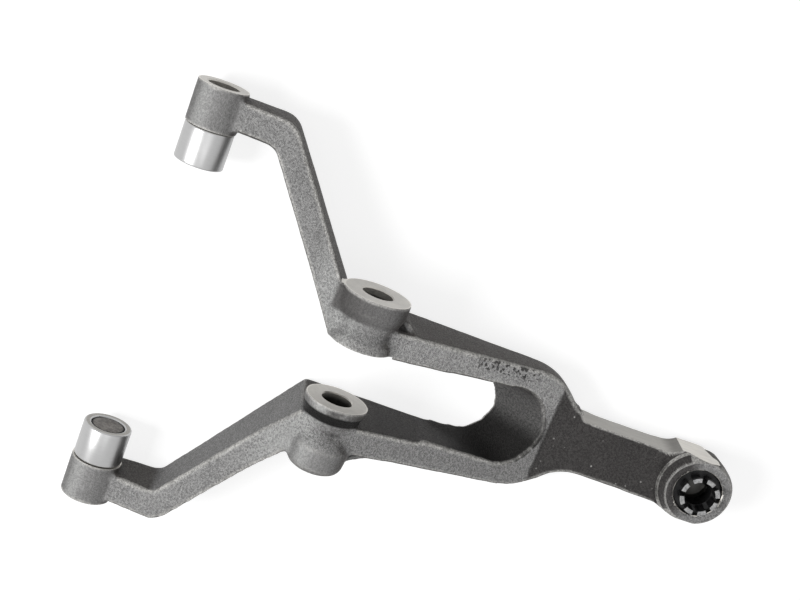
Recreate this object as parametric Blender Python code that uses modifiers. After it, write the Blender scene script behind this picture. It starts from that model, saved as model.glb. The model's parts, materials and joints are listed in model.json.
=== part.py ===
"""Clutch fork: a forged two-prong release lever with rollers and a rod socket.

All sizes are in metres. The fork lies on its flat back, with +Z up. X spreads the two
prongs, and +Y runs from the rollers to the rod socket. Heights count from the flat back
and places along Y from the pivot axis. One parent empty then moves the whole fork along
Y, so that the world's origin lies under the middle of it.
"""

import math

import bmesh
import bpy
from mathutils import Matrix, Vector

# Fits between pieces
RUNNING_GAP = 0.0003
SEAT_GAP = 0.0003

# Pivot bosses, bored through for the fork shaft: the left outer boss is faced and the
# right one left rough, and the right flange stands further in than the left one
PIVOT_HEIGHT = 0.037
PIVOT_BORE_RADIUS = 0.0069
PIVOT_BORE_CHAMFER = 0.0006
OUTER_BOSS_PROUD = 0.0123
FACED_BOSS_WALL = 0.0084
ROUGH_BOSS_WALL = 0.006
ROUGH_BOSS_DRAFT = 0.0009
ROUGH_BOSS_ROUNDING = 0.0042
FLANGE_WALL = 0.0074
FLANGE_RIM = 0.0035
RIGHT_FLANGE_PROUD = 0.0085
LEFT_FLANGE_SUNK = 0.0014
SPOT_FACE_WIDTH = 0.0015
BOSS_RIM_CHAMFER = 0.0005
BOSS_FOOT_LENGTH = 0.0055
BOSS_FOOT_FALL = 0.0024

# Yoke between the pivot and the lever
OPENING_HALF_WIDTH = 0.0175
OPENING_STRAIGHT_END = 0.04
OPENING_BACK_END = 0.0725
OPENING_ARCH_LENGTH = 0.0145
OPENING_BACK_NARROWING = 0.0019
OPENING_END_SLOPE = 1.34
OPENING_ARCH_SLOPE = 1.0
OPENING_SIDE_SLOPE = 0.14
OPENING_POINTEDNESS = 0.3
ARM_THICKNESS = 0.0125
ARM_TAPER = 0.0009
RIDGE_PLACE = -0.004
RIDGE_RISE = 0.0106
RIDGE_ROUNDING = 0.014

# Web behind each outer boss
WEB_START = 0.011
WEB_END = 0.023
WEB_DEPTH = 0.011
WEB_RISE = 0.001
WEB_FALL = 0.004

# Splayed prongs
PRONG_ROOT_PLACE = -0.0135
PRONG_THICKNESS = 0.0122
PRONG_BEND_PLACE = -0.027
PRONG_BEND_DEPTH = 0.0335
PRONG_BEND_ROUNDING = 0.03
PRONG_TIP_DEPTH = 0.0215
END_ARM_THICKNESS = 0.0133
END_ARM_LENGTH = 0.0288
ELBOW_INNER_RADIUS = 0.006
ELBOW_OUTER_RADIUS = 0.0112
TIP_HEEL_RISE = 0.0045
TIP_HEEL_LENGTH = 0.012

# Prong end bosses, pins and rollers
ROLLER_REACH = 0.0907
ROLLER_HEIGHT = 0.0154
ROLLER_HALF_SPACE = 0.0643
ROLLER_LENGTH = 0.0166
ROLLER_WALL = 0.0032
ROLLER_CHAMFER = 0.0006
END_BOSS_LENGTH = 0.0186
END_BOSS_WALL = 0.0045
END_BOSS_CHAMFER = 0.0008
PIN_SHANK_RADIUS = 0.0067
PIN_SHOULDER = 0.0008
PIN_CHAMFER = 0.0007
PIN_NOSE_RECESS = 0.0004
PIN_TAIL_RECESS = 0.0045

# Lever
BEND_BEYOND_OPENING = 0.0245
BEND_DEPTH = 0.0165
LEVER_HALF_WIDTH = 0.0132
LEVER_DEPTH = 0.0184
SHOULDER_BEYOND_OPENING = 0.0218
SHOULDER_RADIUS = 0.032
NECK_RADIUS = 0.02

# Lever end with the rod socket
SOCKET_REACH = 0.172
SOCKET_MOUTH_RADIUS = 0.0113
SOCKET_MOUTH_DEPTH = 0.0035
SOCKET_MOUTH_CHAMFER = 0.0005
SOCKET_LEDGE = 0.0016
SOCKET_FLOOR = 0.0105
SOCKET_SEAT_RADIUS = 0.0085
SOCKET_SEAT_DEPTH = 0.0045
SOCKET_WALL = 0.0052
END_FACE_RISE = 0.0052
END_FACE_OVERHANG = 0.0006
END_FACE_FLARE = 0.0021
END_FLAT_CUT = 0.001
END_FLAT_LENGTH = 0.0068
END_STEP_LENGTH = 0.0085
END_STEP_RADIUS = 0.006
FACING_STOCK = 0.001
PAD_PROUD = 0.0003
PAD_LENGTH = 0.0131
PAD_RUN_OUT = 0.016
LEVER_FLAT_CUT = 0.0005

# Plastic clip that holds the ball of the rod
CLIP_RING_THICKNESS = 0.0024
CLIP_WALL = 0.0016
CLIP_THROAT_RADIUS = 0.0062
CLIP_TIP_RADIUS = 0.0092
CLIP_TIP_RISE = 0.0042
CLIP_TIP_THICKNESS = 0.0016
CLIP_FINGERS = 8
CLIP_SLOT_WIDTH = 0.0011
CLIP_SLOT_ROOT = 0.0004

# Forged back edges, which lean in below the parting line and are rounded
PARTING_HEIGHT = 0.014
BACK_DRAFT = 0.0009
BACK_ROUNDING = 0.0024
BACK_ROUNDING_STEPS = 3

# Smoothness of round work
TURN_STEPS = 40
ARC_STEPS = 5
ARCH_STEPS = 9
SEAT_STEPS = 5
SHARP_ANGLE = math.radians(30)

# Places and sizes that follow from the ones above
FACED_BOSS_RADIUS = PIVOT_BORE_RADIUS + FACED_BOSS_WALL
ROUGH_BOSS_RADIUS = PIVOT_BORE_RADIUS + ROUGH_BOSS_WALL
FLANGE_RADIUS = PIVOT_BORE_RADIUS + FLANGE_WALL
YOKE_HALF_WIDTH = OPENING_HALF_WIDTH + ARM_THICKNESS
BOSS_OUTER_FACE = YOKE_HALF_WIDTH + OUTER_BOSS_PROUD
LEFT_FLANGE_FACE = OPENING_HALF_WIDTH + LEFT_FLANGE_SUNK
RIGHT_FLANGE_FACE = OPENING_HALF_WIDTH - RIGHT_FLANGE_PROUD
RIDGE_HEIGHT = PIVOT_HEIGHT + RIDGE_RISE
PIN_JOURNAL_RADIUS = PIN_SHANK_RADIUS + PIN_SHOULDER
ROLLER_BORE_RADIUS = PIN_JOURNAL_RADIUS + RUNNING_GAP
ROLLER_RADIUS = ROLLER_BORE_RADIUS + ROLLER_WALL
END_BORE_RADIUS = PIN_SHANK_RADIUS + SEAT_GAP
END_BOSS_RADIUS = END_BORE_RADIUS + END_BOSS_WALL
END_BOSS_INNER_FACE = ROLLER_HALF_SPACE + ROLLER_LENGTH + RUNNING_GAP
END_BOSS_OUTER_FACE = END_BOSS_INNER_FACE + END_BOSS_LENGTH
END_ARM_INNER = (END_BOSS_INNER_FACE + END_BOSS_OUTER_FACE - END_ARM_THICKNESS) / 2
END_ARM_OUTER = END_ARM_INNER + END_ARM_THICKNESS
BEND_PLACE = OPENING_BACK_END + BEND_BEYOND_OPENING
SHOULDER_PLACE = OPENING_BACK_END + SHOULDER_BEYOND_OPENING
SHOULDER_HALF_WIDTH = YOKE_HALF_WIDTH - ARM_TAPER
NECK_PLACE = SHOULDER_PLACE + SHOULDER_HALF_WIDTH - LEVER_HALF_WIDTH
END_RADIUS = SOCKET_MOUTH_RADIUS + SOCKET_WALL
END_FACE_RADIUS = END_RADIUS + END_FACE_OVERHANG
END_FACE_HEIGHT = LEVER_DEPTH + END_FACE_RISE
END_FLAT_HALF_WIDTH = END_RADIUS - END_FLAT_CUT
END_FLAT_START = SOCKET_REACH - END_FLAT_LENGTH
SOCKET_BORE_RADIUS = SOCKET_MOUTH_RADIUS - SOCKET_LEDGE
MOUTH_FLOOR = END_FACE_HEIGHT - SOCKET_MOUTH_DEPTH
BACK_END = -ROLLER_REACH - max(END_BOSS_RADIUS, ROLLER_RADIUS)
FRONT_END = SOCKET_REACH + END_RADIUS
MIDDLE_PLACE = (BACK_END + FRONT_END) / 2
TOP = max(RIDGE_HEIGHT, PIVOT_HEIGHT + FACED_BOSS_RADIUS)

# How far a cutter or guide reaches past what it cuts
BEYOND = 0.01


def clear_scene():
    """Remove the objects that the file opened with."""
    for old in list(bpy.data.objects):
        bpy.data.objects.remove(old)


def new_collection(name):
    """Return a new collection linked to the scene."""
    collection = bpy.data.collections.new(name)
    bpy.context.scene.collection.children.link(collection)
    return collection


def new_material(name, colour, roughness, metallic):
    """Return a Principled material with one colour and finish."""
    result = bpy.data.materials.new(name)
    result.use_nodes = True
    shader = result.node_tree.nodes["Principled BSDF"]
    shader.inputs["Base Color"].default_value = (*colour, 1.0)
    shader.inputs["Roughness"].default_value = roughness
    shader.inputs["Metallic"].default_value = metallic
    return result


def link(name, data, collection):
    """Return a new object on the fork's parent empty."""
    obj = bpy.data.objects.new(name, data)
    collection.objects.link(obj)
    obj.parent = fork_frame
    return obj


def frozen(source, collection):
    """Replace a curve or a modified object by a plain welded mesh in the same place."""
    bpy.context.view_layer.update()
    evaluated = source.evaluated_get(bpy.context.evaluated_depsgraph_get())
    mesh = bpy.data.meshes.new_from_object(evaluated)
    name = source.name
    matrix = source.matrix_world.copy()
    bpy.data.objects.remove(source)
    bm = bmesh.new()
    bm.from_mesh(mesh)
    bmesh.ops.remove_doubles(bm, verts=bm.verts[:], dist=1e-6)
    bmesh.ops.recalc_face_normals(bm, faces=bm.faces[:])
    bm.to_mesh(mesh)
    bm.free()
    result = link(name, mesh, collection)
    result.matrix_world = matrix
    return result


def rounded(corners):
    """Return an open line through (a, b, radius) corners, with an arc at each rounded one."""
    points = []
    for index, (a, b, radius) in enumerate(corners):
        here = Vector((a, b))
        if radius == 0:
            points.append(here)
            continue
        back = Vector(corners[index - 1][:2]) - here
        ahead = Vector(corners[index + 1][:2]) - here
        half_angle = back.angle(ahead) / 2
        room = min(back.length, ahead.length) / 2
        reach = min(radius / math.tan(half_angle), room)
        arc_radius = reach * math.tan(half_angle)
        back.normalize()
        ahead.normalize()
        centre = here + (back + ahead).normalized() * (arc_radius / math.sin(half_angle))
        first = here + back * reach - centre
        last = here + ahead * reach - centre
        start = math.atan2(first.y, first.x)
        sweep = math.remainder(math.atan2(last.y, last.x) - start, math.tau)
        for step in range(ARC_STEPS + 1):
            turn = start + sweep * step / ARC_STEPS
            points.append(centre + Vector((math.cos(turn), math.sin(turn))) * arc_radius)
    return points


def mirrored(half):
    """Close a half outline that starts or ends on the middle line with its mirror image."""
    return half + [Vector((-point.x, point.y)) for point in reversed(half) if point.x > 1e-6]


def inset(points, distance):
    """Return a closed clockwise outline moved inwards by a distance."""
    moved = []
    for index, here in enumerate(points):
        before = (here - points[index - 1]).normalized()
        after = (points[(index + 1) % len(points)] - here).normalized()
        inward_before = Vector((before.y, -before.x))
        inward_after = Vector((after.y, -after.x))
        bisector = (inward_before + inward_after).normalized()
        moved.append(here + bisector * (distance / bisector.dot(inward_before)))
    return moved


def lofted(name, rings, collection):
    """Return a solid through level outlines, given as (height, points) from the lowest up."""
    bm = bmesh.new()
    levels = [[bm.verts.new((point.x, point.y, height)) for point in points]
              for height, points in rings]
    bm.faces.new(levels[0])
    bm.faces.new(levels[-1])
    for lower, upper in zip(levels, levels[1:]):
        for index in range(len(lower)):
            after = (index + 1) % len(lower)
            bm.faces.new((lower[index], lower[after], upper[after], upper[index]))
    bmesh.ops.recalc_face_normals(bm, faces=bm.faces[:])
    mesh = bpy.data.meshes.new(name)
    bm.to_mesh(mesh)
    bm.free()
    return link(name, mesh, collection)


def side_plate(name, points, half_width, collection):
    """Return a plate across X from its (Y, Z) outline, as wide to the left as to the right."""
    curve = bpy.data.curves.new(name, "CURVE")
    curve.dimensions = "2D"
    curve.fill_mode = "BOTH"
    curve.extrude = half_width
    spline = curve.splines.new("POLY")
    spline.points.add(len(points) - 1)
    for spline_point, point in zip(spline.points, points):
        spline_point.co = (point.x, point.y, 0.0, 1.0)
    spline.use_cyclic_u = True
    plate = link(name, curve, collection)
    plate.rotation_euler = (math.pi / 2, 0.0, math.pi / 2)
    return frozen(plate, collection)


def turned(name, profile, collection, ring=False, cutter=False):
    """Return a solid turned about Z from (radius, height) points down its outer side.

    A ring's profile goes on up its inner side and closes there. A cutter starts half a
    step round, so that its edges fall between the edges of the round piece that it cuts.
    """
    start = math.pi / TURN_STEPS if cutter else 0.0
    edges = [(index, index + 1) for index in range(len(profile) - 1)]
    if ring:
        edges.append((len(profile) - 1, 0))
    mesh = bpy.data.meshes.new(name)
    mesh.from_pydata([(radius * math.cos(start), radius * math.sin(start), height)
                      for radius, height in profile], edges, [])
    outline = link(name, mesh, collection)
    screw = outline.modifiers.new("turn", "SCREW")
    screw.steps = TURN_STEPS
    screw.render_steps = TURN_STEPS
    screw.use_merge_vertices = True
    screw.merge_threshold = 1e-6
    return frozen(outline, collection)


def lay_across(obj, side, x, y, height):
    """Point a turned solid's Z axis outboard along X, on the right (1) or left (-1) side."""
    obj.rotation_euler = (0.0, side * math.pi / 2, 0.0)
    obj.location = (side * x, y, height)


def on_both_sides(tool):
    """Repeat a tool solid on the left side of the fork."""
    mirror = tool.modifiers.new("other side", "MIRROR")
    mirror.mirror_object = fork_frame
    mirror.use_mirror_merge = False
    return tool


def combine(target, operation, tool):
    """Add, cut or intersect a target with a tool solid, which stays behind as a hidden guide."""
    boolean = target.modifiers.new(f"{operation.lower()} {tool.name}", "BOOLEAN")
    boolean.operation = operation
    boolean.object = tool
    tool.hide_render = True
    tool.display_type = "WIRE"


def prong_lines():
    """Return the inner line's root and elbow, and the outer line's root and elbow."""
    root = Vector((OPENING_HALF_WIDTH, PRONG_ROOT_PLACE))
    elbow = Vector((END_ARM_INNER, END_ARM_LENGTH - ROLLER_REACH))
    along = (elbow - root).normalized()
    across = root + Vector((-along.y, along.x)) * PRONG_THICKNESS
    slope = along.y / along.x
    outer_root = Vector((YOKE_HALF_WIDTH, across.y + (YOKE_HALF_WIDTH - across.x) * slope))
    outer_elbow = Vector((END_ARM_OUTER, across.y + (END_ARM_OUTER - across.x) * slope))
    return root, elbow, outer_root, outer_elbow


def outer_outline():
    """Return the fork's outline from above, with the space between the prongs filled."""
    outer_root, outer_elbow = prong_lines()[2:]
    flat_turn = math.asin(END_FLAT_HALF_WIDTH / END_RADIUS)
    turns = [flat_turn * step / ARCH_STEPS for step in range(ARCH_STEPS + 1)]
    end_arc = [Vector((math.sin(turn), math.cos(turn))) * END_RADIUS + Vector((0.0, SOCKET_REACH))
               for turn in turns]
    side = rounded([
        (END_FLAT_HALF_WIDTH, SOCKET_REACH, 0),
        (END_FLAT_HALF_WIDTH, END_FLAT_START, END_STEP_RADIUS),
        (LEVER_HALF_WIDTH, END_FLAT_START - END_STEP_LENGTH, END_STEP_RADIUS),
        (LEVER_HALF_WIDTH, NECK_PLACE, NECK_RADIUS),
        (SHOULDER_HALF_WIDTH, SHOULDER_PLACE, SHOULDER_RADIUS),
        (YOKE_HALF_WIDTH, WEB_END, 0),
        (outer_root.x, outer_root.y, 0),
        (outer_elbow.x, outer_elbow.y, ELBOW_OUTER_RADIUS),
        (END_ARM_OUTER, -ROLLER_REACH, 0),
    ])
    return mirrored(end_arc + side[1:])


def opening_outline(height):
    """Return the outline of the space between the prongs at one height."""
    root, elbow = prong_lines()[:2]
    half_width = OPENING_HALF_WIDTH - OPENING_BACK_NARROWING + OPENING_SIDE_SLOPE * height
    arch_start = OPENING_BACK_END - OPENING_ARCH_LENGTH + OPENING_ARCH_SLOPE * height
    arch_length = OPENING_ARCH_LENGTH + (OPENING_END_SLOPE - OPENING_ARCH_SLOPE) * height
    point_turn = math.acos(OPENING_POINTEDNESS / (1 + OPENING_POINTEDNESS))
    arch = []
    for step in range(ARCH_STEPS + 1):
        turn = point_turn * (1 - step / ARCH_STEPS)
        across = (1 + OPENING_POINTEDNESS) * math.cos(turn) - OPENING_POINTEDNESS
        along = math.sin(turn) / math.sin(point_turn)
        arch.append(Vector((half_width * across, arch_start + arch_length * along)))
    legs = rounded([
        (OPENING_HALF_WIDTH, OPENING_STRAIGHT_END, 0),
        (root.x, root.y, 0),
        (elbow.x, elbow.y, ELBOW_INNER_RADIUS),
        (END_ARM_INNER, BACK_END - BEYOND, 0),
    ])
    return mirrored(arch + legs)


def side_outline():
    """Return the (Y, Z) outline of the forging, without its bosses."""
    front = rounded([
        (-ROLLER_REACH, PRONG_TIP_DEPTH, 0),
        (PRONG_BEND_PLACE, PRONG_BEND_DEPTH, PRONG_BEND_ROUNDING),
        (RIDGE_PLACE, RIDGE_HEIGHT, RIDGE_ROUNDING),
        (BEND_PLACE, BEND_DEPTH, 0),
        (SOCKET_REACH, LEVER_DEPTH, 0),
        (FRONT_END + BEYOND, LEVER_DEPTH, 0),
    ])
    back = rounded([
        (FRONT_END + BEYOND, 0.0, 0),
        (TIP_HEEL_LENGTH - ROLLER_REACH, 0.0, TIP_HEEL_LENGTH),
        (-ROLLER_REACH, TIP_HEEL_RISE, 0),
    ])
    return front + back


def forged_blank(parts, guides):
    """Return the main mass of the forging: its drafted outline, cut to the side outline."""
    outline = outer_outline()
    rings = []
    for step in range(BACK_ROUNDING_STEPS + 1):
        turn = math.pi / 2 * step / BACK_ROUNDING_STEPS
        height = BACK_ROUNDING * (1 - math.cos(turn))
        draft = BACK_DRAFT * (1 - height / PARTING_HEIGHT)
        rings.append((height, inset(outline, draft + BACK_ROUNDING * (1 - math.sin(turn)))))
    rings.append((PARTING_HEIGHT, outline))
    rings.append((TOP + BEYOND, outline))
    blank = lofted("fork_body", rings, parts)
    side_view = side_plate("side view", side_outline(), END_BOSS_OUTER_FACE + BEYOND, guides)
    combine(side_view, "UNION", end_face(guides))
    combine(blank, "INTERSECT", side_view)
    return blank


def end_face(guides):
    """Return the raised round face of the lever's end, with the stock for its facing cut."""
    foot = LEVER_DEPTH / 2
    disc = turned("end face", [
        (0.0, END_FACE_HEIGHT + FACING_STOCK),
        (END_FACE_RADIUS, END_FACE_HEIGHT + FACING_STOCK),
        (END_FACE_RADIUS + END_FACE_FLARE, LEVER_DEPTH),
        (END_FACE_RADIUS + END_FACE_FLARE, foot),
        (0.0, foot),
    ], guides)
    disc.location = (0.0, SOCKET_REACH, 0.0)
    return disc


def opening(guides):
    """Return the cutter for the space between the prongs and the pointed window behind them."""
    heights = (-BEYOND, TOP + 2 * BEYOND)
    return lofted("opening", [(height, opening_outline(height)) for height in heights], guides)


def boss_core(depth):
    """Return the profile points of a boss's inner end, a depth below its face."""
    return [(FACED_BOSS_RADIUS - 2 * BOSS_FOOT_FALL, -depth), (0.0, -depth)]


def faced_boss(guides):
    """Return the left outer pivot boss, whose foot tapers into the arm."""
    foot = OUTER_BOSS_PROUD - BOSS_FOOT_LENGTH
    boss = turned("faced boss", [
        (0.0, 0.0),
        (FACED_BOSS_RADIUS - BOSS_RIM_CHAMFER, 0.0),
        (FACED_BOSS_RADIUS, -BOSS_RIM_CHAMFER),
        (FACED_BOSS_RADIUS, -foot),
        (FACED_BOSS_RADIUS - BOSS_FOOT_FALL, -OUTER_BOSS_PROUD),
        *boss_core(OUTER_BOSS_PROUD + ARM_THICKNESS / 2),
    ], guides)
    lay_across(boss, -1, BOSS_OUTER_FACE, 0.0, PIVOT_HEIGHT)
    return boss


def rough_boss(guides):
    """Return the right outer pivot boss: a drafted stub with a rounded end, as forged."""
    inside = ROUGH_BOSS_RADIUS - ROUGH_BOSS_ROUNDING
    turns = [math.pi / 2 * step / ARC_STEPS for step in range(ARC_STEPS + 1)]
    rounding = [(inside + ROUGH_BOSS_ROUNDING * math.sin(turn),
                 -ROUGH_BOSS_ROUNDING * (1 - math.cos(turn))) for turn in turns]
    boss = turned("rough boss", [
        (0.0, 0.0),
        *rounding,
        (ROUGH_BOSS_RADIUS + ROUGH_BOSS_DRAFT, -OUTER_BOSS_PROUD),
        *boss_core(OUTER_BOSS_PROUD + ARM_THICKNESS / 2),
    ], guides)
    lay_across(boss, 1, BOSS_OUTER_FACE, 0.0, PIVOT_HEIGHT)
    return boss


def inner_flange(name, side, face, guides):
    """Return a short inner pivot boss, whose rim stands off the arm on a narrower neck."""
    neck = max(OPENING_HALF_WIDTH - face, 2 * FLANGE_RIM)
    depth = neck + ARM_THICKNESS / 4
    flange = turned(name, [
        (0.0, depth),
        (FLANGE_RADIUS - 2 * BOSS_FOOT_FALL, depth),
        (FLANGE_RADIUS - BOSS_FOOT_FALL, neck),
        (FLANGE_RADIUS - BOSS_RIM_CHAMFER, FLANGE_RIM),
        (FLANGE_RADIUS, FLANGE_RIM - BOSS_RIM_CHAMFER),
        (FLANGE_RADIUS, BOSS_RIM_CHAMFER),
        (FLANGE_RADIUS - BOSS_RIM_CHAMFER, 0.0),
        (0.0, 0.0),
    ], guides)
    lay_across(flange, side, face, 0.0, PIVOT_HEIGHT)
    return flange


def spot_face(guides):
    """Return the cutter that sinks the left flange's face into the arm's inner side."""
    radius = FLANGE_RADIUS + SPOT_FACE_WIDTH
    cutter = turned("spot face", [
        (0.0, 0.0),
        (radius, 0.0),
        (radius, -OPENING_HALF_WIDTH),
        (0.0, -OPENING_HALF_WIDTH),
    ], guides, cutter=True)
    lay_across(cutter, -1, LEFT_FLANGE_FACE, 0.0, PIVOT_HEIGHT)
    return cutter


def web(guides):
    """Return the web that ties the outer boss to the arm, with a front face that falls outboard."""
    inside = YOKE_HALF_WIDTH - ARM_THICKNESS / 2
    rim = BOSS_OUTER_FACE - ROUGH_BOSS_ROUNDING
    outline = [Vector(point) for point in (
        (inside, 0.0),
        (inside, WEB_END),
        (YOKE_HALF_WIDTH, WEB_END),
        (rim, WEB_START),
        (rim, 0.0),
    )]
    top = PIVOT_HEIGHT + WEB_RISE
    result = lofted("web", [(top - WEB_DEPTH, outline), (top, outline)], guides)
    for vertex in result.data.vertices:
        if vertex.co.z == result.data.vertices[-1].co.z and vertex.co.x > YOKE_HALF_WIDTH:
            vertex.co.z -= WEB_FALL
    return result


def end_boss(guides):
    """Return the round boss at the tip of the prong."""
    boss = turned("end boss", [
        (0.0, END_BOSS_LENGTH),
        (END_BOSS_RADIUS - END_BOSS_CHAMFER, END_BOSS_LENGTH),
        (END_BOSS_RADIUS, END_BOSS_LENGTH - END_BOSS_CHAMFER),
        (END_BOSS_RADIUS, END_BOSS_CHAMFER),
        (END_BOSS_RADIUS - END_BOSS_CHAMFER, 0.0),
        (0.0, 0.0),
    ], guides)
    lay_across(boss, 1, END_BOSS_INNER_FACE, -ROLLER_REACH, ROLLER_HEIGHT)
    return boss


def pivot_bore(name, side, face, guides):
    """Return the cutter for a pivot bore, chamfered at both faces."""
    length = BOSS_OUTER_FACE - face
    mouth = PIVOT_BORE_RADIUS + PIVOT_BORE_CHAMFER + BEYOND
    bore = turned(name, [
        (0.0, length + BEYOND),
        (mouth, length + BEYOND),
        (PIVOT_BORE_RADIUS, length - PIVOT_BORE_CHAMFER),
        (PIVOT_BORE_RADIUS, PIVOT_BORE_CHAMFER),
        (mouth, -BEYOND),
        (0.0, -BEYOND),
    ], guides, cutter=True)
    lay_across(bore, side, face, 0.0, PIVOT_HEIGHT)
    return bore


def end_bore(guides):
    """Return the cutter for the bore that holds the pin's shank."""
    mouth = END_BORE_RADIUS + PIN_CHAMFER + BEYOND
    bore = turned("end bore", [
        (0.0, END_BOSS_LENGTH + BEYOND),
        (mouth, END_BOSS_LENGTH + BEYOND),
        (END_BORE_RADIUS, END_BOSS_LENGTH - PIN_CHAMFER),
        (END_BORE_RADIUS, -BEYOND),
        (0.0, -BEYOND),
    ], guides, cutter=True)
    lay_across(bore, 1, END_BOSS_INNER_FACE, -ROLLER_REACH, ROLLER_HEIGHT)
    return bore


def pad(guides):
    """Return the machined pad beside the socket on the left, with its hollow run-out."""
    lever_line = LEVER_HALF_WIDTH - LEVER_FLAT_CUT
    pad_line = END_FLAT_HALF_WIDTH + PAD_PROUD
    pad_start = SOCKET_REACH - PAD_LENGTH
    rise = pad_line - lever_line
    run_out = math.sqrt(2 * PAD_RUN_OUT * rise - rise * rise)
    last_turn = math.asin(run_out / PAD_RUN_OUT)
    turns = [last_turn * step / ARC_STEPS for step in range(ARC_STEPS + 1)]
    hollow = [Vector((-lever_line - PAD_RUN_OUT * (1 - math.cos(turn)),
                      pad_start - run_out + PAD_RUN_OUT * math.sin(turn))) for turn in turns]
    outline = hollow + [
        Vector((-pad_line, SOCKET_REACH)),
        Vector((-lever_line / 2, SOCKET_REACH)),
        Vector((-lever_line / 2, pad_start - run_out)),
    ]
    levels = [(BACK_ROUNDING, outline), (END_FACE_HEIGHT + FACING_STOCK / 2, outline)]
    return lofted("pad", levels, guides)


def facing_cut(guides):
    """Return the cutter that faces the lever's end and the pad level in one cut."""
    reach = 2 * END_RADIUS
    outline = [Vector((across * reach, SOCKET_REACH + along * reach))
               for across, along in ((-1, -1), (-1, 1), (1, 1), (1, -1))]
    return lofted("facing cut", [(END_FACE_HEIGHT, outline), (TOP + BEYOND, outline)], guides)


def lever_flat(guides):
    """Return the cutter that mills the lever's left side flat, up to the pad's run-out."""
    flat_line = LEVER_HALF_WIDTH - LEVER_FLAT_CUT
    end = SOCKET_REACH - PAD_LENGTH - PAD_RUN_OUT / 2
    outline = [Vector(point) for point in (
        (-YOKE_HALF_WIDTH, NECK_PLACE),
        (-flat_line, NECK_PLACE),
        (-flat_line, end),
        (-YOKE_HALF_WIDTH, end),
    )]
    return lofted("lever flat", [(-BEYOND, outline), (TOP + BEYOND, outline)], guides)


def socket(guides):
    """Return the cutter for the stepped rod socket and its round seat."""
    mouth = SOCKET_MOUTH_RADIUS + SOCKET_MOUTH_CHAMFER + BEYOND
    turns = [math.pi / 2 * step / SEAT_STEPS for step in range(SEAT_STEPS)]
    seat = [(SOCKET_SEAT_RADIUS * math.cos(turn), SOCKET_FLOOR - SOCKET_SEAT_DEPTH * math.sin(turn))
            for turn in turns]
    cutter = turned("socket", [
        (0.0, END_FACE_HEIGHT + BEYOND),
        (mouth, END_FACE_HEIGHT + BEYOND),
        (SOCKET_MOUTH_RADIUS, END_FACE_HEIGHT - SOCKET_MOUTH_CHAMFER),
        (SOCKET_MOUTH_RADIUS, MOUTH_FLOOR),
        (SOCKET_BORE_RADIUS, MOUTH_FLOOR),
        (SOCKET_BORE_RADIUS, SOCKET_FLOOR),
        *seat,
        (0.0, SOCKET_FLOOR - SOCKET_SEAT_DEPTH),
    ], guides, cutter=True)
    cutter.location = (0.0, SOCKET_REACH, 0.0)
    return cutter


def fork_body(parts, guides):
    """Return the forged and machined fork."""
    body = forged_blank(parts, guides)
    combine(body, "DIFFERENCE", opening(guides))
    for solid in (
        faced_boss(guides),
        rough_boss(guides),
        inner_flange("left flange", -1, LEFT_FLANGE_FACE, guides),
        inner_flange("right flange", 1, RIGHT_FLANGE_FACE, guides),
        on_both_sides(web(guides)),
        on_both_sides(end_boss(guides)),
    ):
        combine(body, "UNION", solid)
    for cutter in (
        spot_face(guides),
        pivot_bore("left pivot bore", -1, LEFT_FLANGE_FACE, guides),
        pivot_bore("right pivot bore", 1, RIGHT_FLANGE_FACE, guides),
        on_both_sides(end_bore(guides)),
        lever_flat(guides),
    ):
        combine(body, "DIFFERENCE", cutter)
    combine(body, "UNION", pad(guides))
    combine(body, "DIFFERENCE", facing_cut(guides))
    combine(body, "DIFFERENCE", socket(guides))
    return body


def pin(name, side, parts):
    """Return one pin: a shank pressed into the end boss and a thicker journal for the roller."""
    tail = END_BOSS_LENGTH - PIN_TAIL_RECESS
    nose = PIN_NOSE_RECESS - RUNNING_GAP - ROLLER_LENGTH
    result = turned(name, [
        (0.0, tail),
        (PIN_SHANK_RADIUS - PIN_CHAMFER, tail),
        (PIN_SHANK_RADIUS, tail - PIN_CHAMFER),
        (PIN_SHANK_RADIUS, -SEAT_GAP),
        (PIN_JOURNAL_RADIUS, -SEAT_GAP),
        (PIN_JOURNAL_RADIUS, nose + PIN_CHAMFER),
        (PIN_JOURNAL_RADIUS - PIN_CHAMFER, nose),
        (0.0, nose),
    ], parts)
    lay_across(result, side, END_BOSS_INNER_FACE, -ROLLER_REACH, ROLLER_HEIGHT)
    return result


def roller(name, side, parts):
    """Return one roller sleeve, which turns on the pin's journal."""
    result = turned(name, [
        (ROLLER_BORE_RADIUS + ROLLER_CHAMFER, ROLLER_LENGTH),
        (ROLLER_RADIUS - ROLLER_CHAMFER, ROLLER_LENGTH),
        (ROLLER_RADIUS, ROLLER_LENGTH - ROLLER_CHAMFER),
        (ROLLER_RADIUS, ROLLER_CHAMFER),
        (ROLLER_RADIUS - ROLLER_CHAMFER, 0.0),
        (ROLLER_BORE_RADIUS + ROLLER_CHAMFER, 0.0),
        (ROLLER_BORE_RADIUS, ROLLER_CHAMFER),
        (ROLLER_BORE_RADIUS, ROLLER_LENGTH - ROLLER_CHAMFER),
    ], parts, ring=True)
    lay_across(result, side, ROLLER_HALF_SPACE, -ROLLER_REACH, ROLLER_HEIGHT)
    return result


def finger_slots(low, high, inner, outer, guides):
    """Return the cutter for the slots that part the clip's fingers."""
    bm = bmesh.new()
    for index in range(CLIP_FINGERS):
        made = bmesh.ops.create_cube(bm, size=1.0)["verts"]
        turn = Matrix.Rotation(math.tau * (index + 0.5) / CLIP_FINGERS, 3, "Z")
        bmesh.ops.scale(bm, verts=made, vec=(outer - inner, CLIP_SLOT_WIDTH, high - low))
        bmesh.ops.translate(bm, verts=made, vec=((inner + outer) / 2, 0.0, (low + high) / 2))
        bmesh.ops.rotate(bm, verts=made, matrix=turn)
    mesh = bpy.data.meshes.new("finger slots")
    bm.to_mesh(mesh)
    bm.free()
    return link("finger slots", mesh, guides)


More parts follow.
